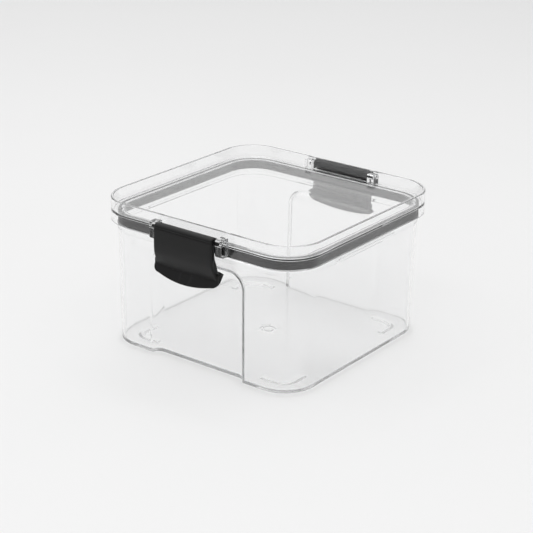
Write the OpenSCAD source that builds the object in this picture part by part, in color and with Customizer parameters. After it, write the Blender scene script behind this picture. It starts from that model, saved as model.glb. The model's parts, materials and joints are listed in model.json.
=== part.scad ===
// Square airtight food canister: a clear moulded container, a clear lid with a
// raised stacking rim, a dark silicone gasket and two swinging side latches.
// Origin: centre of the footprint on the table. +Z up, latches on the -Y and +Y sides.

/* [Container] */
// Outer width of the container at its rim
body_w = 124.5; // [112:0.5:150]
// Height of the container's rim above the table
body_h = 67.9; // [62:0.1:110]
// Outer corner radius at the rim
body_corner_r = 19.25; // [16:0.25:22]
// Wall thickness
wall_t = 1.4; // [1.3:0.1:2]
// How far each wall leans in between the rim and the base
draft = 1.1; // [0.4:0.1:1.1]
// Floor thickness
floor_t = 1.4; // [1.2:0.1:2.6]
// Radius between the wall and the floor, inside
floor_fillet = 0.7; // [0.5:0.1:3]
// Radius of the bottom outer edge
base_edge_r = 0.8; // [0.5:0.1:1.2]
// Height of the collar band below the rim
collar_h = 4; // [3.5:0.1:5]
// How far the collar band stands out of the wall
collar_out = 0.4; // [0.2:0.05:0.6]

/* [Catch ribs] */
// Length of the catch rib on each side
rib_l = 52; // [44:1:58]
// How far the rib stands out of the wall
rib_out = 0.8; // [0.7:0.05:1.1]
// Height of the rib
rib_h = 2.2; // [1.8:0.1:3]

/* [Finger recess] */
// Width of the recess at the wall's face
recess_w = 62; // [50:0.5:64]
// Depth of the recess
recess_d = 3.9; // [2.5:0.1:4.2]
// Distance from the rim down to the top of the recess
recess_drop = 7; // [6.6:0.1:12]
// Corner radius of the recess at the wall's face
recess_r = 10; // [8:0.5:14]
// How far the recess narrows on each side between its mouth and its back
recess_taper = 5.5; // [4:0.1:6]

/* [Feet] */
// Height of the four corner feet
foot_h = 1; // [0.6:0.1:1.6]
// Distance from the base's outer face to a foot
foot_inset = 9; // [6:0.5:10]
// Width of a corner foot
foot_w = 4.5; // [3:0.5:6]
// Length of a foot's straight legs
foot_leg = 8; // [4:0.5:12]

/* [Lid] */
// Outer width of the lid
lid_over = 5.5; // [5:0.1:7]
// Outer corner radius of the lid
lid_corner_r = 20; // [18:0.5:22]
// Wall thickness of the lid's skirt and rim
skirt_t = 1.5; // [1.2:0.1:1.8]
// Height of the skirt and rim together
skirt_h = 13; // [12.5:0.1:16]
// Height of the stacking rim above the panel
rim_h = 6.7; // [5:0.1:7]
// Thickness of the panel
panel_t = 1.2; // [1:0.1:2]
// How far the plug reaches into the container
plug_in = 1.7; // [1:0.1:3]
// Thickness of the plug wall
plug_t = 1.4; // [1:0.1:2]

/* [Gasket] */
// Thickness of the gasket
gasket_t = 1.7; // [1.4:0.1:1.8]
// Gap between the gasket and the container's rim
gasket_gap = 0.05; // [0.02:0.01:0.3]

/* [Latches] */
// Length of a latch's hinge barrel
latch_w = 37.4; // [30:0.2:42]
// Diameter of the hinge barrel
barrel_d = 5.2; // [4.4:0.1:5.4]
// Diameter of the hinge pins
pin_d = 2.4; // [2:0.1:2.8]
// Radial clearance between a pin and its bore
pin_clear = 0.05; // [0.02:0.01:0.1]
// Length of each pin
pin_l = 2.5; // [1.5:0.1:3]
// Distance from the lid's outer face to the hinge axis
hinge_out = 4.3; // [4.2:0.1:4.8]
// Distance from the rim's top down to the hinge axis
hinge_drop = 5; // [4.5:0.1:5.5]
// Thickness of the latch's plate near the hinge
plate_t = 3; // [2.4:0.1:3.2]
// Height of the finger tab, from the crease to its lower edge
tab_h = 5.9; // [5:0.1:7]
// How much wider than the barrel the tab is, on each side
tab_flare = 2.1; // [1.4:0.1:3]
// How far the tab's lower edge stands out from the crease
tab_kick = 3.2; // [2:0.1:4]
// Thickness of a hinge lug, along the barrel
lug_t = 4.4; // [3.6:0.1:5]
// End gap between the barrel and each lug
lug_gap = 0.3; // [0.2:0.05:0.5]

/* [Hidden] */
$fn = 96;
clear_plastic = [0.86, 0.89, 0.9, 0.4];
latch_black = [0.1, 0.1, 0.11];
gasket_grey = [0.22, 0.22, 0.23];
joint_overlap = 0.4;

// The container: corner centres stay put, and the corner radius shrinks with the draft.
body_reach = body_w / 2 - body_corner_r;
rim_r = body_corner_r;
base_r = rim_r - draft;
floor_z = foot_h + floor_t;
collar_z = body_h - collar_h;
rim_edge = 0.5;

// The finger recess: its back lies this far from the centre.
recess_top = body_h - recess_drop;
recess_back = body_reach + base_r - recess_d + 0.15;
recess_slope = recess_taper / recess_d;
recess_run = recess_d + 3;
recess_skin_run = wall_t + recess_d - 0.35;

// The lid, stacked on the container's rim.
lid_w = body_w + lid_over;
lid_reach = lid_w / 2 - lid_corner_r;
skirt_z = body_h + 0.6;
rim_top = skirt_z + skirt_h;
panel_top = rim_top - rim_h;
panel_under = panel_top - panel_t;
plug_clear = 0.35;
plug_r = rim_r - wall_t - plug_clear;
plug_z = body_h - plug_in;
rim_round = 0.6;
panel_fillet = 0.3;

// The latches, drawn on the -Y side.
hinge_u = lid_w / 2 + hinge_out;
hinge_z = rim_top - hinge_drop;
crease_u = hinge_u - 0.6;
crease_z = hinge_z - 20.3;
tab_corner_r = 3.3;
tab_rise = 2.4;
hook_clear = 0.1;
hook_u = body_w / 2 + rib_out + hook_clear;
hook_half = 13;
hook_top = collar_z - 0.4;
lug_in = latch_w / 2 + lug_gap;
lug_front = hinge_u + 0.7;
lug_foot = skirt_z + 0.7;
lug_top = hinge_z + 2.2;
bore_depth = pin_l + 0.3;

// Points along an arc of radius r about [x, y], from angle a to angle b.
function arc(x, y, r, a, b, steps = 8) =
    [for (i = [0:steps]) [x + r * cos(a + (b - a) * i / steps), y + r * sin(a + (b - a) * i / steps)]];

// Outer wall radius, measured from a corner centre, at height z.
function wall_r(z) = base_r + draft * (z - foot_h) / (body_h - foot_h);

// Sweeps a [radius, height] profile around a rounded square.
module swept_ring(profile, reach) {
    for (turn = [0:90:270])
        rotate([0, 0, turn]) translate([reach, reach, 0]) {
            rotate_extrude(angle = 90) polygon(profile);
            rotate([90, 0, 0]) linear_extrude(2 * reach) polygon(profile);
        }
}

module rounded_plate(reach, r, thick) {
    linear_extrude(thick) {
        square([2 * reach, 2 * (reach + r)], center = true);
        square([2 * (reach + r), 2 * reach], center = true);
        for (x = [-reach, reach], y = [-reach, reach])
            translate([x, y]) circle(r);
    }
}

// A round-topped doorway on the -Y side. Its back face lies at y = -back, with
// corner radius back_r there, and it widens outwards along the recess's slope.
module doorway(back, back_r, run, foot) {
    centre_x = recess_w / 2 - recess_r;
    centre_z = recess_top - recess_r;
    front_r = back_r + recess_slope * run;
    for (side = [-1, 1])
        translate([side * centre_x, -back, centre_z])
            rotate([90, 0, 0]) cylinder(h = run, r1 = back_r, r2 = front_r);
    translate([0, 0, foot]) linear_extrude(centre_z - foot)
        polygon([[-centre_x - back_r, -back], [centre_x + back_r, -back],
                 [centre_x + front_r, -back - run], [-centre_x - front_r, -back - run]]);
    translate([-centre_x, 0, 0]) rotate([90, 0, 90]) linear_extrude(2 * centre_x)
        polygon([[-back, centre_z - 1], [-back, centre_z + back_r],
                 [-back - run, centre_z + front_r], [-back - run, centre_z - 1]]);
}

module both_latch_sides() {
    for (turn = [0, 180]) rotate([0, 0, turn]) children();
}

module container_walls() {
    inner_r = base_r - wall_t;
    top_in = rim_r - wall_t;
    profile = concat(
        arc(base_r - base_edge_r, foot_h + base_edge_r, base_edge_r, -90, 0),
        [[wall_r(collar_z), collar_z], [wall_r(collar_z) + collar_out, collar_z]],
        arc(rim_r + collar_out - rim_edge, body_h - rim_edge, rim_edge, 0, 90, 4),
        [[top_in, body_h]],
        arc(inner_r - floor_fillet, floor_z + floor_fillet, floor_fillet, 0, -90),
        [[inner_r - floor_fillet, foot_h]]);
    swept_ring(profile, body_reach);
    translate([0, 0, foot_h]) rounded_plate(body_reach, inner_r - floor_fillet + 0.2, floor_t);
}

module catch_rib() {
    root = body_reach + rim_r - 0.8;
    tip = body_w / 2 + rib_out;
    translate([-rib_l / 2, 0, 0]) rotate([90, 0, 90]) linear_extrude(rib_l)
        polygon([[-root, collar_z], [-tip, collar_z], [-tip, collar_z + rib_h - 0.8],
                 [-root, collar_z + rib_h]]);
}

module corner_foot() {
    r = base_r - foot_inset;
    pad = [[r - foot_w, 0], [r, 0], [r, foot_h + 0.1], [r - foot_w, foot_h + 0.1]];
    translate([body_reach, body_reach, 0]) {
        rotate_extrude(angle = 90) polygon(pad);
        rotate([90, 0, 0]) linear_extrude(foot_leg) polygon(pad);
        rotate([90, 0, 90]) translate([0, 0, -foot_leg]) linear_extrude(foot_leg) polygon(pad);
    }
}

module container() {
    color(clear_plastic) {
        difference() {
            union() {
                container_walls();
                both_latch_sides()
                    doorway(recess_back - wall_t, recess_r - recess_taper + 0.5, recess_skin_run, foot_h);
            }
            both_latch_sides()
                doorway(recess_back, recess_r - recess_taper, recess_run, foot_h - 1);
        }
        for (turn = [0:90:270]) rotate([0, 0, turn]) {
            catch_rib();
            corner_foot();
        }
    }
}

// One clear lug beside a latch, on the -Y side at positive x.
module hinge_lug() {
    nose_r = 1.6;
    root = lid_w / 2 - skirt_t / 2;
    side = concat(
        [[-root, lug_foot - 0.4]],
        [[-root, lug_top]],
        arc(-lug_front + nose_r, lug_top - nose_r, nose_r, 90, 180, 6),
        arc(-lug_front + nose_r, lug_foot + nose_r, nose_r, 180, 270, 6));
    difference() {
        translate([lug_in, 0, 0]) rotate([90, 0, 90]) linear_extrude(lug_t) polygon(side);
        translate([lug_in - 1, -hinge_u, hinge_z]) rotate([0, 90, 0])
            cylinder(h = bore_depth + 1, d = pin_d + 2 * pin_clear);
    }
}

module lid() {
    in_r = lid_corner_r - skirt_t;
    rim = concat(
        [[in_r, skirt_z]],
        [[lid_corner_r - 0.3, skirt_z], [lid_corner_r, skirt_z + 0.3]],
        arc(lid_corner_r - rim_round, rim_top - rim_round, rim_round, 0, 90, 4),
        arc(in_r + rim_round, rim_top - rim_round, rim_round, 90, 180, 4),
        arc(in_r - panel_fillet, panel_top + panel_fillet, panel_fillet, 0, -90, 6),
        [[in_r - panel_fillet, panel_under], [in_r, panel_under]]);
    plug = [[plug_r - plug_t, plug_z], [plug_r - 0.3, plug_z], [plug_r, plug_z + 0.3],
            [plug_r, panel_under + joint_overlap], [plug_r - plug_t, panel_under + joint_overlap]];
    color(clear_plastic) {
        swept_ring(rim, lid_reach);
        translate([0, 0, panel_under]) rounded_plate(lid_reach, in_r - panel_fillet + 0.2, panel_t);
        swept_ring(plug, body_reach);
        both_latch_sides() {
            hinge_lug();
            mirror([1, 0, 0]) hinge_lug();
        }
    }
}

module gasket() {
    in_r = plug_r + 0.05;
    out_r = in_r + gasket_t;
    low = body_h + gasket_gap;
    high = panel_under - 0.05;
    profile = concat(
        arc(out_r - 0.5, low + 0.5, 0.5, -90, 0, 4),
        arc(out_r - 0.5, high - 0.5, 0.5, 0, 90, 4),
        [[in_r, high], [in_r, low]]);
    color(gasket_grey) swept_ring(profile, body_reach);
}

// Side view of the latch plate, from its nose over the barrel down to the crease: [y, height] points.
function plate_profile() = [
    [-hinge_u, hinge_z + barrel_d / 2], [-hinge_u - 1.8, hinge_z + barrel_d / 2 - 0.15],
    [-hinge_u - 2.8, hinge_z + 1.9], [-hinge_u - 3.2, hinge_z + 1.1], [-hinge_u - 3, hinge_z + 0.5],
    [-hinge_u - 3.1, hinge_z - 0.5], [-hinge_u - 3.15, hinge_z - 4.5], [-hinge_u - 3.1, hinge_z - 8.5],
    [-hinge_u - 2.6, hinge_z - 12.5], [-hinge_u - 1.2, hinge_z - 16.5], [-crease_u, crease_z],
    [-crease_u + plate_t, crease_z], [-hinge_u - 0.7 + plate_t, hinge_z - 16.5],
    [-hinge_u - 1.4 + plate_t, hinge_z - 12.5], [-hinge_u - 2.7 + plate_t, hinge_z - 8.5],
    [-hinge_u - 3.1 + plate_t, hinge_z - 4.5], [-hinge_u, hinge_z]];

// Front view of one half of the plate: straight at the lugs, then widening down to the crease.
function plate_outline(side) = let (half = latch_w / 2)
    [[0, hinge_z + 3], [side * half, hinge_z + 3], [side * half, hinge_z - 8],
     [side * (half + 0.3), hinge_z - 12.5], [side * (half + 1.1), crease_z], [0, crease_z]];

// Side view of the finger tab: a wedge that is thick behind the crease and thin at its lower edge.
function tab_profile() = let (top = crease_z + 4.4, low = crease_z - tab_h - 0.3)
    [[-crease_u, crease_z], [-crease_u, top], [-crease_u + 2.3, top], [-crease_u + 3.8, top - 1.4],
     [-crease_u - tab_kick + 0.6, low], [-crease_u - tab_kick, low]];

// Front view of one half of the tab: cut top corner, rounded lower corner, gently curved lower edge.
function tab_outline(side) = let (
    wide = latch_w / 2 + tab_flare,
    top = crease_z + 4.4,
    low = crease_z - tab_h,
    turn_x = wide - tab_corner_r,
    turn_z = low + tab_rise + tab_corner_r,
    edge_r = (turn_x * turn_x + tab_rise * tab_rise) / (2 * tab_rise))
    concat(
        [[0, top], [side * (wide - 1.3), top], [side * wide, top - 1.4]],
        [for (i = [0:6]) let (a = 13 * i)
            [side * (turn_x + tab_corner_r * cos(a)), turn_z - tab_corner_r * sin(a)]],
        [for (i = [6:-1:0]) let (x = turn_x * i / 6)
            [side * x, low + edge_r - sqrt(edge_r * edge_r - x * x)]]);

// A side view drawn out along the latch's width, then trimmed to a front view given by its two halves.
module trimmed_to(profile, right, left) {
    span = latch_w + 10;
    intersection() {
        translate([-span / 2, 0, 0]) rotate([90, 0, 90]) linear_extrude(span) polygon(profile);
        rotate([90, 0, 0]) linear_extrude(2 * hinge_u) {
            polygon(right);
            polygon(left);
        }
    }
}

module latch() {
    color(latch_black) {
        translate([0, -hinge_u, hinge_z]) rotate([0, 90, 0]) {
            cylinder(h = latch_w, d = barrel_d, center = true);
            cylinder(h = latch_w + 2 * pin_l, d = pin_d, center = true);
        }
        trimmed_to(plate_profile(), plate_outline(1), plate_outline(-1));
        trimmed_to(tab_profile(), tab_outline(1), tab_outline(-1));
        hook_bar();
    }
}

// The bar behind the plate that snaps below the container's catch rib.
module hook_bar() {
    translate([-hook_half, 0, 0]) rotate([90, 0, 90]) linear_extrude(2 * hook_half)
        polygon([[-hinge_u + 0.2, hook_top + 2.2], [-hook_u - 0.8, hook_top], [-hook_u, hook_top - 0.5],
                 [-hook_u, hook_top - 1.6], [-hinge_u + 1, hook_top - 2.6]]);
}

module latch_front() {
    latch();
}

module latch_back() {
    rotate([0, 0, 180]) latch();
}

container();
lid();
gasket();
latch_front();
latch_back();
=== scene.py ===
import json
import math

import bmesh
import bpy
import numpy as np
from mathutils import Matrix, Vector


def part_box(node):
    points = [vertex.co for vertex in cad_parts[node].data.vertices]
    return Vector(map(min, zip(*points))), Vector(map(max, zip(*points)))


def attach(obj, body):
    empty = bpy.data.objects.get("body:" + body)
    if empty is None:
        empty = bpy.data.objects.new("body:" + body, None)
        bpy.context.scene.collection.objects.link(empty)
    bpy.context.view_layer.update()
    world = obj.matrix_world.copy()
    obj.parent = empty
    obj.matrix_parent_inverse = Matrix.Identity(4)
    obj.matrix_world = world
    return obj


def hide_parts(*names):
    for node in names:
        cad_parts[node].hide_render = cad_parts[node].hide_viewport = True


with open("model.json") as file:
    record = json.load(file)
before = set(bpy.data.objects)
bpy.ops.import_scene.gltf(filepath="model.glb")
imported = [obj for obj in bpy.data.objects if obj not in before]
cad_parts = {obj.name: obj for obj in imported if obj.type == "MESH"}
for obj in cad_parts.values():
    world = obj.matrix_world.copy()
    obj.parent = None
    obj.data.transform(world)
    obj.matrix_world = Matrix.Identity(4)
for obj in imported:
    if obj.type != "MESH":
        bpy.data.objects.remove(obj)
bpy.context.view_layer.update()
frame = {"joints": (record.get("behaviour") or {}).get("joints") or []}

# A square clear food canister: container, lid, gasket ring and two swinging latches. Each CAD
# node is replaced by a smooth shell of the same size, lofted round a rounded square or along x.
# Lengths are in millimetres until a mesh is made. u is the distance outwards, to the front (-Y).
MM = 0.001


def node_box(node):
    """Lowest and highest corner of a CAD node, in millimetres."""
    low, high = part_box(node)
    return low / MM, high / MM


BODY_LOW, BODY_HIGH = node_box("container")
LID_LOW, LID_HIGH = node_box("lid")
RING_LOW, RING_HIGH = node_box("gasket")
HINGE = {j["child"]: Vector(j["pos_m"]) / MM for j in frame["joints"] if j["type"] == "hinge"}

# Container
RIB_OUT = 0.8
RIB_HALF = 26.0
BODY_HALF = BODY_HIGH.x - RIB_OUT
BODY_H = BODY_HIGH.z
RIM_R = 19.25
REACH = BODY_HALF - RIM_R
DRAFT = 1.1
WALL = 1.4
FOOT_H = 1.0
FLOOR_Z = 2.4
EDGE_R = 0.8
FILLET_R = 0.7
BASE_R = RIM_R - DRAFT
COLLAR_Z = BODY_H - 4.0
COLLAR_OUT = 0.4
FOOT_INSET = 9.0
FOOT_W = 4.5
FOOT_LEG = 8.0

# Finger recess on the front and back walls
RECESS_BACK = REACH + BASE_R - 3.75
RECESS_HALF = 31.1
RECESS_TOP = BODY_H - 7.0
RECESS_R = 10.0
RECESS_RUN = 6.2
RECESS_LIP = 1.8
ROW_STEP = 0.25

# Lid
LID_HALF = LID_HIGH.x
LID_R = 20.0
LID_REACH = LID_HALF - LID_R
SKIRT_T = 1.5
SKIRT_Z = BODY_H + 0.6
RIM_TOP = LID_HIGH.z
PANEL_TOP = RIM_TOP - 6.7
PANEL_T = 1.2
PLUG_Z = LID_LOW.z
PLUG_T = 1.4
PLUG_R = RIM_R - WALL - 0.35

# Latch
HINGE_U = abs(HINGE["latch_front"].y)
HINGE_Z = HINGE["latch_front"].z
BARREL_R = 2.6
BARREL_HALF = 18.7
PIN_R = 1.2
PIN_L = 2.5
BORE_R = 1.25
LUG_X = (19.0, 23.4)


# ---------------------------------------------------------------- meshes

def make_object(name, points, faces, smooth=True):
    """A mesh object from points in millimetres, with its normals facing out."""
    mesh = bpy.data.meshes.new(name)
    mesh.from_pydata([tuple(p * MM) for p in np.asarray(points, float)], [], faces)
    mesh.validate()
    work = bmesh.new()
    work.from_mesh(mesh)
    bmesh.ops.remove_doubles(work, verts=work.verts, dist=1e-6)
    bmesh.ops.recalc_face_normals(work, faces=work.faces)
    work.to_mesh(mesh)
    work.free()
    if smooth:
        mesh.shade_smooth()
    piece = bpy.data.objects.new(name, mesh)
    bpy.context.scene.collection.objects.link(piece)
    return piece


def bake_modifiers(piece):
    """Replaces the piece's mesh with what its modifiers make of it."""
    graph = bpy.context.evaluated_depsgraph_get()
    mesh = bpy.data.meshes.new_from_object(piece.evaluated_get(graph))
    piece.modifiers.clear()
    piece.data = mesh


def join_solid(piece, other, operation="UNION"):
    """Joins or cuts piece with other, a closed solid, and removes other."""
    step = piece.modifiers.new("solid", "BOOLEAN")
    step.operation = operation
    step.solver = "MANIFOLD"
    step.object = other
    bake_modifiers(piece)
    bpy.data.objects.remove(other)


def round_edges(piece, width, steps=3, angle=40):
    bevel = piece.modifiers.new("round", "BEVEL")
    bevel.width = width * MM
    bevel.segments = steps
    bevel.limit_method = "ANGLE"
    bevel.angle_limit = math.radians(angle)
    bevel.harden_normals = False
    bake_modifiers(piece)


def finish_shading(piece, sharp=32):
    """Smooth shading that keeps crisp edges crisp and flat faces flat."""
    piece.data.shade_smooth()
    piece.data.set_sharp_from_angle(angle=math.radians(sharp))
    weigh = piece.modifiers.new("flat faces", "WEIGHTED_NORMAL")
    weigh.keep_sharp = True
    weigh.weight = 80
    bake_modifiers(piece)


class Track:
    """Columns round a rounded square: places along each straight side, then steps round each corner."""

    def __init__(self, half_places, reach, corner_steps):
        side = sorted({-s for s in half_places} | set(half_places))
        columns = []
        for turn in range(4):
            columns += [(turn, s, 0.0) for s in side]
            columns += [(turn, side[-1], math.pi / 2 * i / corner_steps) for i in range(1, corner_steps)]
        self.turn, self.place, self.angle = np.array(columns).T
        self.reach = reach
        self.straight = self.angle == 0

    def ring(self, reach, r, z, inward=0.0):
        """The points of one loop. inward pushes straight columns towards the middle."""
        x = self.place * reach / self.reach + r * np.sin(self.angle)
        y = -(reach + r * np.cos(self.angle) - inward)
        c, s = np.cos(self.turn * math.pi / 2), np.sin(self.turn * math.pi / 2)
        return np.stack([c * x - s * y, s * x + c * y, np.zeros(len(x)) + z], axis=1)


def to_centre(ring, marks):
    """Rings that lead from a flat ring in to the middle and become circles; marks are (radius, lift)."""
    way = ring[:, :2] / np.linalg.norm(ring[:, :2], axis=1)[:, None]
    z = ring[:, 2:].copy()
    rings = [np.hstack([ring[:, :2] * k, z]) for k in (0.9, 0.7, 0.5)]
    rings.append(np.hstack([0.5 * (ring[:, :2] * 0.32) + 0.5 * way * 15.0, z]))
    rings += [np.hstack([way * rho, z + lift]) for rho, lift in marks]
    return rings


def loft(name, rings, closed=False, flat_ends=False):
    """A skin over successive rings. Open ends are closed by a fan to the middle, or by one flat face."""
    count = len(rings[0])
    points = np.vstack(rings)
    faces = []
    pairs = list(zip(range(len(rings) - 1), range(1, len(rings))))
    if closed:
        pairs.append((len(rings) - 1, 0))
    for a, b in pairs:
        for i in range(count):
            j = (i + 1) % count
            faces.append((a * count + i, a * count + j, b * count + j, b * count + i))
    if flat_ends:
        faces += [tuple(range(count)), tuple(range(len(points) - count, len(points)))]
    elif not closed:
        for end in (0, len(rings) - 1):
            middle = len(points)
            points = np.vstack([points, rings[end].mean(axis=0)])
            faces += [(end * count + i, end * count + (i + 1) % count, middle) for i in range(count)]
    return make_object(name, points, faces)


def arc(x, y, r, start, end, steps):
    """Points along an arc, angles in degrees."""
    angles = np.radians(np.linspace(start, end, steps + 1))
    return [(x + r * math.cos(a), y + r * math.sin(a)) for a in angles]


def prism(name, outline, low, high, along="x"):
    """A solid from low to high along x, with (u, z) points, or along u, with (x, z) points."""
    count = len(outline)
    if along == "x":
        points = [(x, -u, z) for x in (low, high) for u, z in outline]
    else:
        points = [(x, -u, z) for u in (low, high) for x, z in outline]
    faces = [tuple(range(count)), tuple(range(count, 2 * count))]
    faces += [(i, (i + 1) % count, count + (i + 1) % count, count + i) for i in range(count)]
    return make_object(name, points, faces, smooth=False)


def rod(name, radius, low, high, chamfer, sides=64):
    """A rod along x about the front hinge axis, with a chamfer at both ends."""
    ends = radius - chamfer
    stations = [(low, ends), (low + chamfer, radius), (high - chamfer, radius), (high, ends)]
    turn = np.linspace(0, 2 * math.pi, sides, endpoint=False)
    rings = [
        np.stack([np.full(sides, x), -HINGE_U + r * np.cos(turn), HINGE_Z + r * np.sin(turn)], axis=1)
        for x, r in stations
    ]
    return loft(name, rings)


def half_turned(piece, name):
    """A copy of a front piece, turned round to the back."""
    copy = bpy.data.objects.new(name, piece.data.copy())
    copy.data.transform(Matrix.Rotation(math.pi, 4, "Z"))
    bpy.context.scene.collection.objects.link(copy)
    return copy


# ---------------------------------------------------------------- container

def cove(t, run, height, lip, skin=0.0):
    """Depth at t in from the recess's outline: a small arc over the lip, then a large one to the back.

    With a skin it is the same curve on the inner side of a wall of that even thickness.
    """
    both = (run**2 + height**2) / (2 * height)
    bowl = both - lip + skin
    lip = lip - skin
    turn = lip * run / both
    t = np.clip(t, 0, run)
    over_lip = lip - np.sqrt(lip**2 - np.minimum(t, turn) ** 2)
    to_back = height - bowl + np.sqrt(bowl**2 - np.minimum(run - t, run - turn) ** 2)
    return np.where(t < turn, over_lip, to_back)


def inside_doorway(x, z):
    """Distance inwards from the outline of the recess, which runs out through the base."""
    across = np.abs(x) - (RECESS_HALF - RECESS_R)
    up = z - (RECESS_TOP - RECESS_R)
    corner = np.hypot(np.maximum(across, 0), np.maximum(up, 0))
    return RECESS_R - (corner + np.minimum(np.maximum(across, up), 0))


def wall_r(z):
    """Outer corner radius of the leaning wall."""
    return BASE_R + DRAFT * (z - FOOT_H) / (BODY_H - FOOT_H)


# Mesh rows up the wall, below and above the recess's top edge
LOW_ROWS = [6, 10, 15, 22, 30, 38, 44, 47]
HIGH_ROWS = [61.2, 62.4, 63.3]
INNER_ROWS = [66.5, 65, 63.5, 62.4]
# Collar from the wall outwards and up: (stand-out, height over its foot, share of the catch rib)
COLLAR = [(0, -0.2, 0), (0.05, -0.05, 0.05), (0.2, 0.05, 0.4), (0.34, 0.2, 0.8), (COLLAR_OUT, 0.5, 1.0),
          (COLLAR_OUT, 0.9, 1.0), (COLLAR_OUT, 1.3, 0.85), (COLLAR_OUT, 1.7, 0.5),
          (COLLAR_OUT, 2.1, 0.15), (COLLAR_OUT, 2.5, 0)]
# Ring moulded round the gate, seen from below: (radius, depth)
GATE_MARK = [(9.0, 0.0), (4.6, 0.0), (4.2, 0.06), (3.8, 0.2), (3.0, 0.2), (2.6, 0.06), (2.2, 0.0),
             (1.2, 0.0)]


def container_rings(track):
    """The section from the middle of the underside out, up the wall and back in over the floor."""
    on_latch_side = track.straight & (track.turn % 2 == 0)
    on_rib = np.clip((RIB_HALF - np.abs(track.place)) / 2.0 + 0.5, 0, 1) * track.straight
    foot_leg = np.clip((np.abs(track.place) - (REACH - FOOT_LEG)) / 1.5, -0.5, 0.5)
    on_foot = 0.5 + 0.5 * np.sin(foot_leg * math.pi)

    def push(z, skin=0.0):
        height = REACH + wall_r(max(z, FOOT_H)) - RECESS_BACK
        depth = cove(inside_doorway(track.place, z), RECESS_RUN, height, RECESS_LIP, skin)
        return np.where(on_latch_side, depth, 0.0)

    def outer(r, z, rib=0.0):
        return track.ring(REACH, r, z, push(z) - rib * on_rib)

    def base(r, drop=0.0):
        ring = outer(r, FOOT_H)
        ring[:, 2] -= drop * on_foot
        return ring

    def inner(r, z):
        return track.ring(REACH, r, z, push(z, WALL))

    foot_out = BASE_R - FOOT_INSET
    foot_in = foot_out - FOOT_W
    slope = [(2.2 * i / 8, FOOT_H * (0.5 - 0.5 * math.cos(math.pi * i / 8))) for i in range(9)]
    base_rings = [base(foot_in - 1)] + [base(foot_in + away, drop) for away, drop in slope]
    base_rings += [base(foot_out - away, drop) for away, drop in slope[::-1]] + [base(foot_out + 4)]
    rings = to_centre(base_rings[0], GATE_MARK)[::-1] + base_rings
    rings += [outer(r, z) for r, z in arc(BASE_R - EDGE_R, FOOT_H + EDGE_R, EDGE_R, -90, 0, 7)]
    recess_rows = list(np.arange(RECESS_TOP - RECESS_R - 1, RECESS_TOP - RECESS_RUN, 0.4))
    recess_rows += list(np.arange(RECESS_TOP - RECESS_RUN, RECESS_TOP + 0.4, ROW_STEP))
    rings += [outer(wall_r(z), z) for z in LOW_ROWS + recess_rows + HIGH_ROWS]
    ledge = wall_r(COLLAR_Z)
    extra = RIB_OUT - COLLAR_OUT
    rings += [outer(ledge + out, COLLAR_Z + rise, rib * extra) for out, rise, rib in COLLAR]
    rings += [outer(r, z) for r, z in arc(RIM_R + COLLAR_OUT - 0.5, BODY_H - 0.5, 0.5, 0, 90, 5)]
    rings += [inner(r, z) for r, z in arc(RIM_R - WALL + 0.3, BODY_H - 0.3, 0.3, 90, 180, 4)]
    rings += [inner(wall_r(z) - WALL, z) for z in INNER_ROWS + recess_rows[::-1] + LOW_ROWS[::-1]]
    fillet = arc(BASE_R - WALL - FILLET_R, FLOOR_Z + FILLET_R, FILLET_R, 0, -90, 9)
    rings += [inner(r, z) for r, z in fillet]
    rings += [inner(r, FLOOR_Z) for r in (9.0, 5.0)]
    return rings + to_centre(rings[-1], [(9.0, 0.0), (4.0, 0.0)])


def make_container():
    """Columns are dense across the recess's sides and the ends of the feet, where the shape turns."""
    coarse = [0, 4, 8, 12, 16, 19]
    corner = list(np.arange(RECESS_HALF - RECESS_R, RECESS_HALF - RECESS_RUN, 0.4))
    fine = list(np.arange(RECESS_HALF - RECESS_RUN, RECESS_HALF + 0.4, ROW_STEP))
    foot_start = REACH - FOOT_LEG
    outer = [32.5] + list(foot_start + np.linspace(-0.8, 0.8, 9)) + [37.5, 40.5, REACH]
    track = Track([round(float(s), 3) for s in coarse + corner + fine + outer], REACH, 20)
    piece = loft("container_shell", container_rings(track))
    finish_shading(piece)
    return piece


# ---------------------------------------------------------------- lid and gasket

def lid_rings(track):
    """The section from under the panel, round the plug and the skirt, over the rim and back in."""
    def at(r, z):
        return track.ring(LID_REACH, r, z)

    def plug(r, z):
        return track.ring(REACH, r, z)

    under = PANEL_TOP - PANEL_T
    inner = LID_R - SKIRT_T
    low = plug(PLUG_R - PLUG_T - 0.9, under)
    rings = to_centre(low, [(9.0, 0.0), (4.0, 0.0)])[::-1] + [low]
    rings += [plug(r, z) for r, z in arc(PLUG_R - PLUG_T - 0.6, under - 0.6, 0.6, 90, 0, 4)]
    rings += [plug(r, z) for r, z in arc(PLUG_R - PLUG_T + 0.4, PLUG_Z + 0.4, 0.4, 180, 270, 4)]
    rings += [plug(r, z) for r, z in arc(PLUG_R - 0.4, PLUG_Z + 0.4, 0.4, 270, 360, 4)]
    rings += [plug(PLUG_R, under - 0.15), plug(PLUG_R + 0.15, under)]
    rings += [at(r, z) for r, z in arc(inner - 0.4, under - 0.4, 0.4, 90, 0, 4)]
    rings += [at(r, z) for r, z in arc(inner + 0.25, SKIRT_Z + 0.25, 0.25, 180, 270, 3)]
    rings += [at(r, z) for r, z in arc(LID_R - 0.35, SKIRT_Z + 0.35, 0.35, 270, 360, 4)]
    rings += [at(r, z) for r, z in arc(LID_R - 0.6, RIM_TOP - 0.6, 0.6, 0, 90, 6)]
    rings += [at(r, z) for r, z in arc(inner + 0.6, RIM_TOP - 0.6, 0.6, 90, 180, 6)]
    rings += [at(r, z) for r, z in arc(inner - 0.28, PANEL_TOP + 0.28, 0.28, 0, -90, 5)]
    rings += [at(8.0, PANEL_TOP), at(4.0, PANEL_TOP)]
    return rings + to_centre(rings[-1], [(9.0, 0.0), (4.0, 0.0)])


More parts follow.
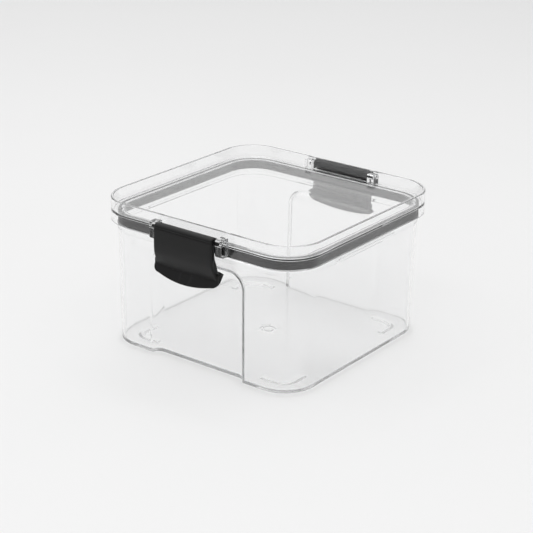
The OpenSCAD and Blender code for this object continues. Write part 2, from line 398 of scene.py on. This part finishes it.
def make_lug(low, high):
    """One clear hinge lug on the front; make_lid cuts its blind bore afterwards."""
    nose_r = 1.6
    front = HINGE_U + 0.7
    root = LID_HALF - SKIRT_T / 2
    top, foot = HINGE_Z + 2.2, SKIRT_Z + 0.7
    outline = [(root, foot - 0.4), (root, top)] + arc(front - nose_r, top - nose_r, nose_r, 90, 0, 8)
    outline += arc(front - nose_r, foot + nose_r, nose_r, 0, -90, 8)
    lug = prism("lug", outline, low, high)
    round_edges(lug, 0.28, steps=3, angle=50)
    return lug


def make_lid():
    places = [0, 6, 12, 18, 24, 30, 36, 41, LID_REACH]
    piece = loft("lid_shell", lid_rings(Track(places, LID_REACH, 24)))
    near, far = LUG_X
    bore_end = near + PIN_L + 0.3
    for low, high, bore in ((near, far, (near - 1, bore_end)), (-far, -near, (-bore_end, 1 - near))):
        for turn in (0, math.pi):
            lug = make_lug(low, high)
            join_solid(lug, rod("bore", BORE_R, *bore, 0.05), "DIFFERENCE")
            lug.data.transform(Matrix.Rotation(turn, 4, "Z"))
            join_solid(piece, lug)
    finish_shading(piece)
    return piece


def make_gasket():
    """A ring with two soft sealing lips on its outer face."""
    places = [0, 8, 16, 24, 32, 38, REACH]
    track = Track(places, REACH, 24)
    inner_r = PLUG_R + 0.05
    outer_r = RING_HIGH.x - REACH
    low, high = RING_LOW.z, RING_HIGH.z
    third = (high - low) / 3
    profile = arc(outer_r - 0.55, low + 0.55, 0.55, -90, 10, 5)
    profile += [(outer_r - 0.12, low + third), (outer_r - 0.3, low + 1.25 * third),
                (outer_r - 0.3, low + 1.75 * third), (outer_r - 0.1, low + 2 * third)]
    profile += arc(outer_r - 0.2, high - 0.2, 0.2, -10, 90, 4)
    profile += arc(inner_r + 0.15, high - 0.15, 0.15, 90, 180, 3)
    profile += arc(inner_r + 0.3, low + 0.3, 0.3, 180, 270, 3)
    piece = loft("gasket_ring", [track.ring(REACH, r, z) for r, z in profile], closed=True)
    finish_shading(piece, sharp=50)
    return piece


# ---------------------------------------------------------------- latches

CREASE_U = HINGE_U - 0.6
CREASE_Z = HINGE_Z - 20.3
CREASE_SAG = 0.9
TAB_HALF = BARREL_HALF + 2.1
TAB_TOP = CREASE_Z + 4.4
TAB_LOW = CREASE_Z - 5.9
# The plate from the side, down its front and up its back: (stand-out from the hinge axis, height over it)
NOSE = [(0.3, 2.6), (1.0, 2.57), (1.8, 2.42), (2.4, 2.12), (2.86, 1.66), (3.12, 1.14), (3.16, 0.86),
        (3.04, 0.66), (2.88, 0.48), (2.9, 0.24), (3.02, 0.0), (3.09, -0.4)]
FACE = [(3.12, -1.5), (3.15, -4.5), (3.1, -8.5), (2.6, -12.5), (1.2, -16.5), (-0.6, -20.3)]
BACK = [(-3.6, -20.3), (-2.4, -16.5), (-1.6, -12.5), (-0.4, -8.5), (0.0, -4.5), (0.0, -0.4)]


def smooth_through(stations, per_span):
    """Points along a smooth curve through the stations, per_span for each gap."""
    p = np.array(stations, float)
    p = np.vstack([2 * p[0] - p[1], p, 2 * p[-1] - p[-2]])
    points = []
    for a, b, c, d in zip(p, p[1:], p[2:], p[3:]):
        for f in np.arange(per_span) / per_span:
            bend = 2 * a - 5 * b + 4 * c - d + f * (3 * (b - c) + d - a)
            points.append(b + 0.5 * f * (c - a + f * bend))
    return points + [p[-2]]


def inset(outline, amount):
    """A closed outline moved inwards by amount."""
    ahead, behind = np.roll(outline, -1, axis=0), np.roll(outline, 1, axis=0)
    along = (ahead - behind) / np.linalg.norm(ahead - behind, axis=1)[:, None]
    return outline + amount * np.stack([along[:, 1], -along[:, 0]], axis=1)


def plate_half(rise):
    """Half the plate's width at a height above the hinge axis."""
    return np.interp(rise, [-20.3, -16.5, -12.5, -8.0, 3.0], [1.1, 0.6, 0.3, 0.0, 0.0]) + BARREL_HALF


def crease_sag(x, rise):
    """The crease hangs a little lower in the middle than at its ends."""
    return CREASE_SAG * (1 - (x / 18.0) ** 2) * np.clip((-rise - 8.0) / 12.3, 0, 1) ** 2


def make_plate():
    """The curved plate: its side outline repeated along x, drawn in at both ends for rounded edges."""
    outline = np.array(NOSE + smooth_through(FACE, 5) + smooth_through(BACK, 4))
    edge_r = 0.9
    turns = np.linspace(0, math.pi / 2, 6)
    ends = [(edge_r * (1 - math.sin(a)), edge_r * (1 - math.cos(a))) for a in turns]
    middle = [(share, 0.0, 0.0) for share in np.linspace(-0.9, 0.9, 13)]
    stations = [(-1.0, back, sunk) for sunk, back in ends] + middle
    stations += [(1.0, -back, sunk) for sunk, back in ends[::-1]]
    rings = []
    for share, shift, sunk in stations:
        side = inset(outline, sunk)
        x = share * plate_half(outline[:, 1]) + shift
        z = HINGE_Z + side[:, 1] - crease_sag(x, side[:, 1])
        rings.append(np.stack([x, -HINGE_U - side[:, 0], z], axis=1))
    return loft("plate", rings, flat_ends=True)


def tab_outline():
    """One half of the tab from the front: (x, z) from its top round to the middle of its lower edge."""
    corner_r, rise = 3.3, 2.4
    turn = TAB_HALF - corner_r
    edge_r = (turn**2 + rise**2) / (2 * rise)
    half = [(TAB_HALF - 1.3, TAB_TOP), (TAB_HALF, TAB_TOP - 1.4)]
    half += arc(turn, TAB_LOW + rise + corner_r, corner_r, 0, -80, 8)
    lower = np.linspace(turn - 1, 0, 12)
    return half + [(x, TAB_LOW + edge_r - math.sqrt(edge_r**2 - x**2)) for x in lower]


def make_tab():
    """The finger tab: a wedge, thick behind the crease and thin at its lower edge, cut to a crescent."""
    rings = []
    for x in np.linspace(-24, 24, 49):
        crease = CREASE_Z - CREASE_SAG * (1 - (x / 18.0) ** 2)
        side = [(CREASE_U, crease), (CREASE_U + 3.2, TAB_LOW - 0.3), (CREASE_U + 2.6, TAB_LOW - 0.3),
                (CREASE_U - 3.8, TAB_TOP - 1.4), (CREASE_U - 2.3, TAB_TOP), (CREASE_U, TAB_TOP)]
        rings.append([(x, -u, z) for u, z in side])
    tab = loft("tab", np.array(rings), flat_ends=True)
    half = tab_outline()
    front = half + [(-x, z) for x, z in half[-2::-1]]
    cutter = prism("front_view", front, CREASE_U - 10, CREASE_U + 10, along="u")
    join_solid(tab, cutter, "INTERSECT")
    round_edges(tab, 0.4, steps=3, angle=35)
    return tab


def make_hook_bar():
    """The bar behind the plate that snaps below the container's catch rib."""
    top = COLLAR_Z - 0.4
    tip = BODY_HIGH.x + 0.1
    outline = [(HINGE_U - 0.2, top + 2.2), (tip + 0.8, top), (tip, top - 0.5), (tip, top - 1.6),
               (HINGE_U - 1, top - 2.6)]
    bar = prism("hook_bar", outline, -13, 13)
    round_edges(bar, 0.25, steps=2)
    return bar


def make_latch():
    """The front latch: barrel, pins, plate, tab and hook bar as one moulding."""
    half = BARREL_HALF
    piece = rod("front_latch", BARREL_R, -half, half, 0.5)
    join_solid(piece, rod("pins", PIN_R, -half - PIN_L, half + PIN_L, 0.25))
    join_solid(piece, make_plate())
    join_solid(piece, make_tab())
    join_solid(piece, make_hook_bar())
    finish_shading(piece, sharp=24)
    return piece


# ---------------------------------------------------------------- materials

def new_material(name):
    material = bpy.data.materials.new(name)
    material.use_nodes = True
    nodes, links = material.node_tree.nodes, material.node_tree.links
    return material, nodes, links, nodes["Principled BSDF"]


def add_noise(nodes, links, scale, detail=3.0, stretch=(1, 1, 1)):
    """Noise in object space, at scale cells per metre."""
    place = nodes.new("ShaderNodeTexCoord")
    mapping = nodes.new("ShaderNodeMapping")
    mapping.inputs["Scale"].default_value = stretch
    noise = nodes.new("ShaderNodeTexNoise")
    noise.inputs["Scale"].default_value = scale
    noise.inputs["Detail"].default_value = detail
    links.new(place.outputs["Object"], mapping.inputs["Vector"])
    links.new(mapping.outputs["Vector"], noise.inputs["Vector"])
    return noise.outputs["Fac"]


def remap(nodes, links, source, low, high, out_low, out_high):
    node = nodes.new("ShaderNodeMapRange")
    node.inputs["From Min"].default_value = low
    node.inputs["From Max"].default_value = high
    node.inputs["To Min"].default_value = out_low
    node.inputs["To Max"].default_value = out_high
    links.new(source, node.inputs["Value"])
    return node.outputs["Result"]


def add_up(nodes, links, first, second):
    node = nodes.new("ShaderNodeMath")
    links.new(first, node.inputs[0])
    links.new(second, node.inputs[1])
    return node.outputs[0]


def add_bump(nodes, links, height, strength, distance):
    node = nodes.new("ShaderNodeBump")
    node.inputs["Strength"].default_value = strength
    node.inputs["Distance"].default_value = distance
    links.new(height, node.inputs["Height"])
    return node.outputs["Normal"]


def two_tone(nodes, links, source, low, high):
    """A colour ramp between two stops, each a position and a colour."""
    ramp = nodes.new("ShaderNodeValToRGB")
    for stop, (place, colour) in zip(ramp.color_ramp.elements, (low, high)):
        stop.position = place
        stop.color = (*colour, 1)
    links.new(source, ramp.inputs["Fac"])
    return ramp.outputs["Color"]


def clear_plastic():
    """Polished clear plastic: flow ripples, fine scratches, a little haze and a matt floor."""
    material, nodes, links, shader = new_material("clear_plastic")
    shader.inputs["Base Color"].default_value = (0.998, 0.999, 1.0, 1)
    shader.inputs["Transmission Weight"].default_value = 1.0
    shader.inputs["IOR"].default_value = 1.54
    haze = add_noise(nodes, links, 30)
    scratches = add_noise(nodes, links, 900, 2, (1, 0.06, 1))
    rough = remap(nodes, links, haze, 0.35, 0.75, 0.008, 0.03)
    extra = remap(nodes, links, scratches, 0.62, 0.72, 0.0, 0.03)
    place = nodes.new("ShaderNodeTexCoord")
    split = nodes.new("ShaderNodeSeparateXYZ")
    links.new(place.outputs["Object"], split.inputs["Vector"])
    height = split.outputs["Z"]
    matt_to = (FLOOR_Z + 0.05) * MM
    on_floor = remap(nodes, links, height, matt_to, matt_to + 0.05 * MM, 0.16, 0.0)
    both = add_up(nodes, links, rough, extra)
    links.new(add_up(nodes, links, both, on_floor), shader.inputs["Roughness"])
    ripples = add_noise(nodes, links, 22, 1)
    links.new(add_bump(nodes, links, ripples, 0.25, 0.00006), shader.inputs["Normal"])
    let_lamps_through(nodes, links, shader, height)
    darken_long_paths(nodes, links)
    return material


def darken_long_paths(nodes, links):
    """An even, slight absorption, which shows only where light runs a long way inside the plastic."""
    depth = nodes.new("ShaderNodeVolumeAbsorption")
    depth.inputs["Color"].default_value = (0.6, 0.61, 0.62, 1)
    depth.inputs["Density"].default_value = 16
    links.new(depth.outputs["Volume"], nodes["Material Output"].inputs["Volume"])


def tint_with_painted_base_shadow(nodes, links, height, clear):
    """Painted contact shadow: a colour for light that passes through, clear, but darker on upright faces
    close to the base, so that a shadow is painted on the floor along the base edge.
    """
    over_base = remap(nodes, links, height, FOOT_H * MM, (FOOT_H + 8) * MM, 0.0, 1.0)
    painted_contact_shadow = nodes.new("ShaderNodeValToRGB")
    stops = painted_contact_shadow.color_ramp.elements
    stops[0].color = stops[1].color = (1, 1, 1, 1)
    # Painted shade: these stops set how dark the contact shadow along the base edge is painted.
    for place, shade in ((0.02, 0.3), (0.12, 0.5), (0.25, 0.9), (0.4, 1.0)):
        stops.new(place).color = (shade, shade, shade, 1)
    links.new(over_base, painted_contact_shadow.inputs["Fac"])
    geometry = nodes.new("ShaderNodeNewGeometry")
    facing = nodes.new("ShaderNodeSeparateXYZ")
    level = nodes.new("ShaderNodeMath")
    level.operation = "ABSOLUTE"
    links.new(geometry.outputs["Normal"], facing.inputs["Vector"])
    links.new(facing.outputs["Z"], level.inputs[0])
    upright = remap(nodes, links, level.outputs[0], 0.5, 0.95, 1.0, 0.0)
    dim = nodes.new("ShaderNodeMix")
    dim.data_type = "RGBA"
    dim.blend_type = "MULTIPLY"
    links.new(upright, dim.inputs["Factor"])
    links.new(clear, dim.inputs["A"])
    links.new(painted_contact_shadow.outputs["Color"], dim.inputs["B"])
    return dim.outputs["Result"]


def let_lamps_through(nodes, links, shader, height):
    """Lamp light goes straight through: least at grazing walls, and by the base edge, where a contact
    shadow is painted in.
    """
    grazing = nodes.new("ShaderNodeLayerWeight")
    grazing.inputs["Blend"].default_value = 0.25
    tint = two_tone(nodes, links, grazing.outputs["Facing"], (0.6, (1, 1, 1)), (1.0, (0.9, 0.9, 0.9)))
    through = nodes.new("ShaderNodeBsdfTransparent")
    # The painted contact shadow goes into the colour that lamps and the floor see through the plastic.
    links.new(tint_with_painted_base_shadow(nodes, links, height, tint), through.inputs["Color"])
    path = nodes.new("ShaderNodeLightPath")
    either = nodes.new("ShaderNodeMath")
    either.operation = "MAXIMUM"
    links.new(path.outputs["Is Shadow Ray"], either.inputs[0])
    links.new(path.outputs["Is Diffuse Ray"], either.inputs[1])
    mix = nodes.new("ShaderNodeMixShader")
    links.new(either.outputs[0], mix.inputs["Fac"])
    links.new(shader.outputs["BSDF"], mix.inputs[1])
    links.new(through.outputs["BSDF"], mix.inputs[2])
    links.new(mix.outputs["Shader"], nodes["Material Output"].inputs["Surface"])


def gasket_silicone():
    """Dark grey silicone with a matt, slightly dusty skin."""
    material, nodes, links, shader = new_material("gasket_silicone")
    mottle = add_noise(nodes, links, 140)
    dust = two_tone(nodes, links, mottle, (0.3, (0.006, 0.006, 0.0063)), (0.8, (0.012, 0.012, 0.0125)))
    links.new(dust, shader.inputs["Base Color"])
    links.new(remap(nodes, links, mottle, 0.3, 0.7, 0.48, 0.62), shader.inputs["Roughness"])
    shader.inputs["Specular IOR Level"].default_value = 0.3
    grain = add_noise(nodes, links, 2600, 2)
    links.new(add_bump(nodes, links, grain, 0.3, 0.00004), shader.inputs["Normal"])
    return material


def latch_plastic():
    """Black moulded plastic: a fine spark-eroded grain, satin face and edges polished by fingers."""
    material, nodes, links, shader = new_material("latch_plastic")
    shade = add_noise(nodes, links, 60)
    geometry = nodes.new("ShaderNodeNewGeometry")
    wear = remap(nodes, links, geometry.outputs["Pointiness"], 0.52, 0.62, 0.0, 1.0)
    black = two_tone(nodes, links, shade, (0.3, (0.004, 0.004, 0.0042)), (0.8, (0.007, 0.007, 0.0073)))
    mix = nodes.new("ShaderNodeMix")
    mix.data_type = "RGBA"
    mix.inputs["B"].default_value = (0.011, 0.011, 0.0115, 1)
    links.new(wear, mix.inputs["Factor"])
    links.new(black, mix.inputs["A"])
    links.new(mix.outputs["Result"], shader.inputs["Base Color"])
    shader.inputs["Specular IOR Level"].default_value = 0.25
    satin = remap(nodes, links, shade, 0.3, 0.7, 0.36, 0.44)
    worn = nodes.new("ShaderNodeMath")
    worn.operation = "MULTIPLY_ADD"
    worn.inputs[1].default_value = -0.1
    links.new(wear, worn.inputs[0])
    links.new(satin, worn.inputs[2])
    links.new(worn.outputs[0], shader.inputs["Roughness"])
    grain = add_noise(nodes, links, 4200, 2)
    links.new(add_bump(nodes, links, grain, 0.35, 0.00003), shader.inputs["Normal"])
    return material


def floor_material():
    material, nodes, links, shader = new_material("studio_floor")
    tone = two_tone(nodes, links, add_noise(nodes, links, 3), (0.0, (0.80,) * 3), (1.0, (0.83,) * 3))
    links.new(tone, shader.inputs["Base Color"])
    shader.inputs["Roughness"].default_value = 0.7
    shader.inputs["Specular IOR Level"].default_value = 0.2
    return material


# ---------------------------------------------------------------- assembly

def place_piece(piece, material, body, node):
    piece.data.materials.clear()
    piece.data.materials.append(material)
    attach(piece, body)
    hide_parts(node)


clear = clear_plastic()
rubber = gasket_silicone()
black = latch_plastic()
place_piece(make_container(), clear, "container", "container")
place_piece(make_lid(), clear, "lid", "lid")
place_piece(make_gasket(), rubber, "lid", "gasket")
front_latch = make_latch()
back_latch = half_turned(front_latch, "back_latch")
place_piece(front_latch, black, "latch_front", "latch_front")
place_piece(back_latch, black, "latch_back", "latch_back")


# ---------------------------------------------------------------- studio

def add_floor(half):
    floor = make_object("floor", [(-half, -half, 0), (half, -half, 0), (half, half, 0), (-half, half, 0)],
                        [(0, 1, 2, 3)])
    floor.data.materials.append(floor_material())


def add_sky(dark, bright, bright_side):
    """A soft dome of light, brighter towards one side, as from a white sweep behind the table."""
    world = bpy.data.worlds.new("studio")
    bpy.context.scene.world = world
    world.use_nodes = True
    nodes, links = world.node_tree.nodes, world.node_tree.links
    place = nodes.new("ShaderNodeTexCoord")
    toward = nodes.new("ShaderNodeVectorMath")
    toward.operation = "DOT_PRODUCT"
    toward.inputs[1].default_value = bright_side
    spread = nodes.new("ShaderNodeMapRange")
    spread.interpolation_type = "SMOOTHSTEP"
    spread.inputs["From Min"].default_value = -0.3
    spread.inputs["From Max"].default_value = 0.9
    spread.inputs["To Min"].default_value = dark
    spread.inputs["To Max"].default_value = bright
    links.new(place.outputs["Generated"], toward.inputs[0])
    links.new(toward.outputs["Value"], spread.inputs["Value"])
    links.new(spread.outputs["Result"], nodes["Background"].inputs["Strength"])
    nodes["Background"].inputs["Color"].default_value = (1, 1, 1, 1)


def add_softbox(power, size, place):
    """A large square light that faces down."""
    lamp = bpy.data.lights.new("softbox", "AREA")
    lamp.energy = power
    lamp.size = size
    box = bpy.data.objects.new("softbox", lamp)
    box.location = place
    bpy.context.scene.collection.objects.link(box)


def add_camera(azimuth, elevation, roll, distance, lens, aim):
    a, e, r = math.radians(azimuth), math.radians(elevation), math.radians(roll)
    back = Vector((math.sin(a) * math.cos(e), -math.cos(a) * math.cos(e), math.sin(e)))
    right = Vector((math.cos(a), math.sin(a), 0))
    up = back.cross(right)
    tilted = right * math.cos(r) + up * math.sin(r)
    camera = bpy.data.objects.new("camera", bpy.data.cameras.new("camera"))
    camera.data.lens = lens
    camera.data.sensor_width = 36
    camera.data.clip_end = 100
    turn = Matrix((tilted, back.cross(tilted), back)).transposed()
    camera.matrix_world = Matrix.Translation(Vector(aim) * MM + back * distance * MM) @ turn.to_4x4()
    bpy.context.scene.collection.objects.link(camera)
    bpy.context.scene.camera = camera


middle = (BODY_LOW + BODY_HIGH) / 2
add_floor(4000)
add_sky(0.5, 0.92, (-0.52, 0.7, 0.49))
add_softbox(10.6, 1.8, (0, -0.2, 1.3))
add_camera(36.676, 21.453, 1.048, 832.36, 105.0, (middle.x + 1.56, middle.y - 3.78, 40.05))
bpy.context.scene.view_settings.view_transform = "Standard"
cycles = bpy.context.scene.cycles
cycles.max_bounces = 40
cycles.transmission_bounces = 40
cycles.glossy_bounces = 24
cycles.diffuse_bounces = 6
cycles.transparent_max_bounces = 40
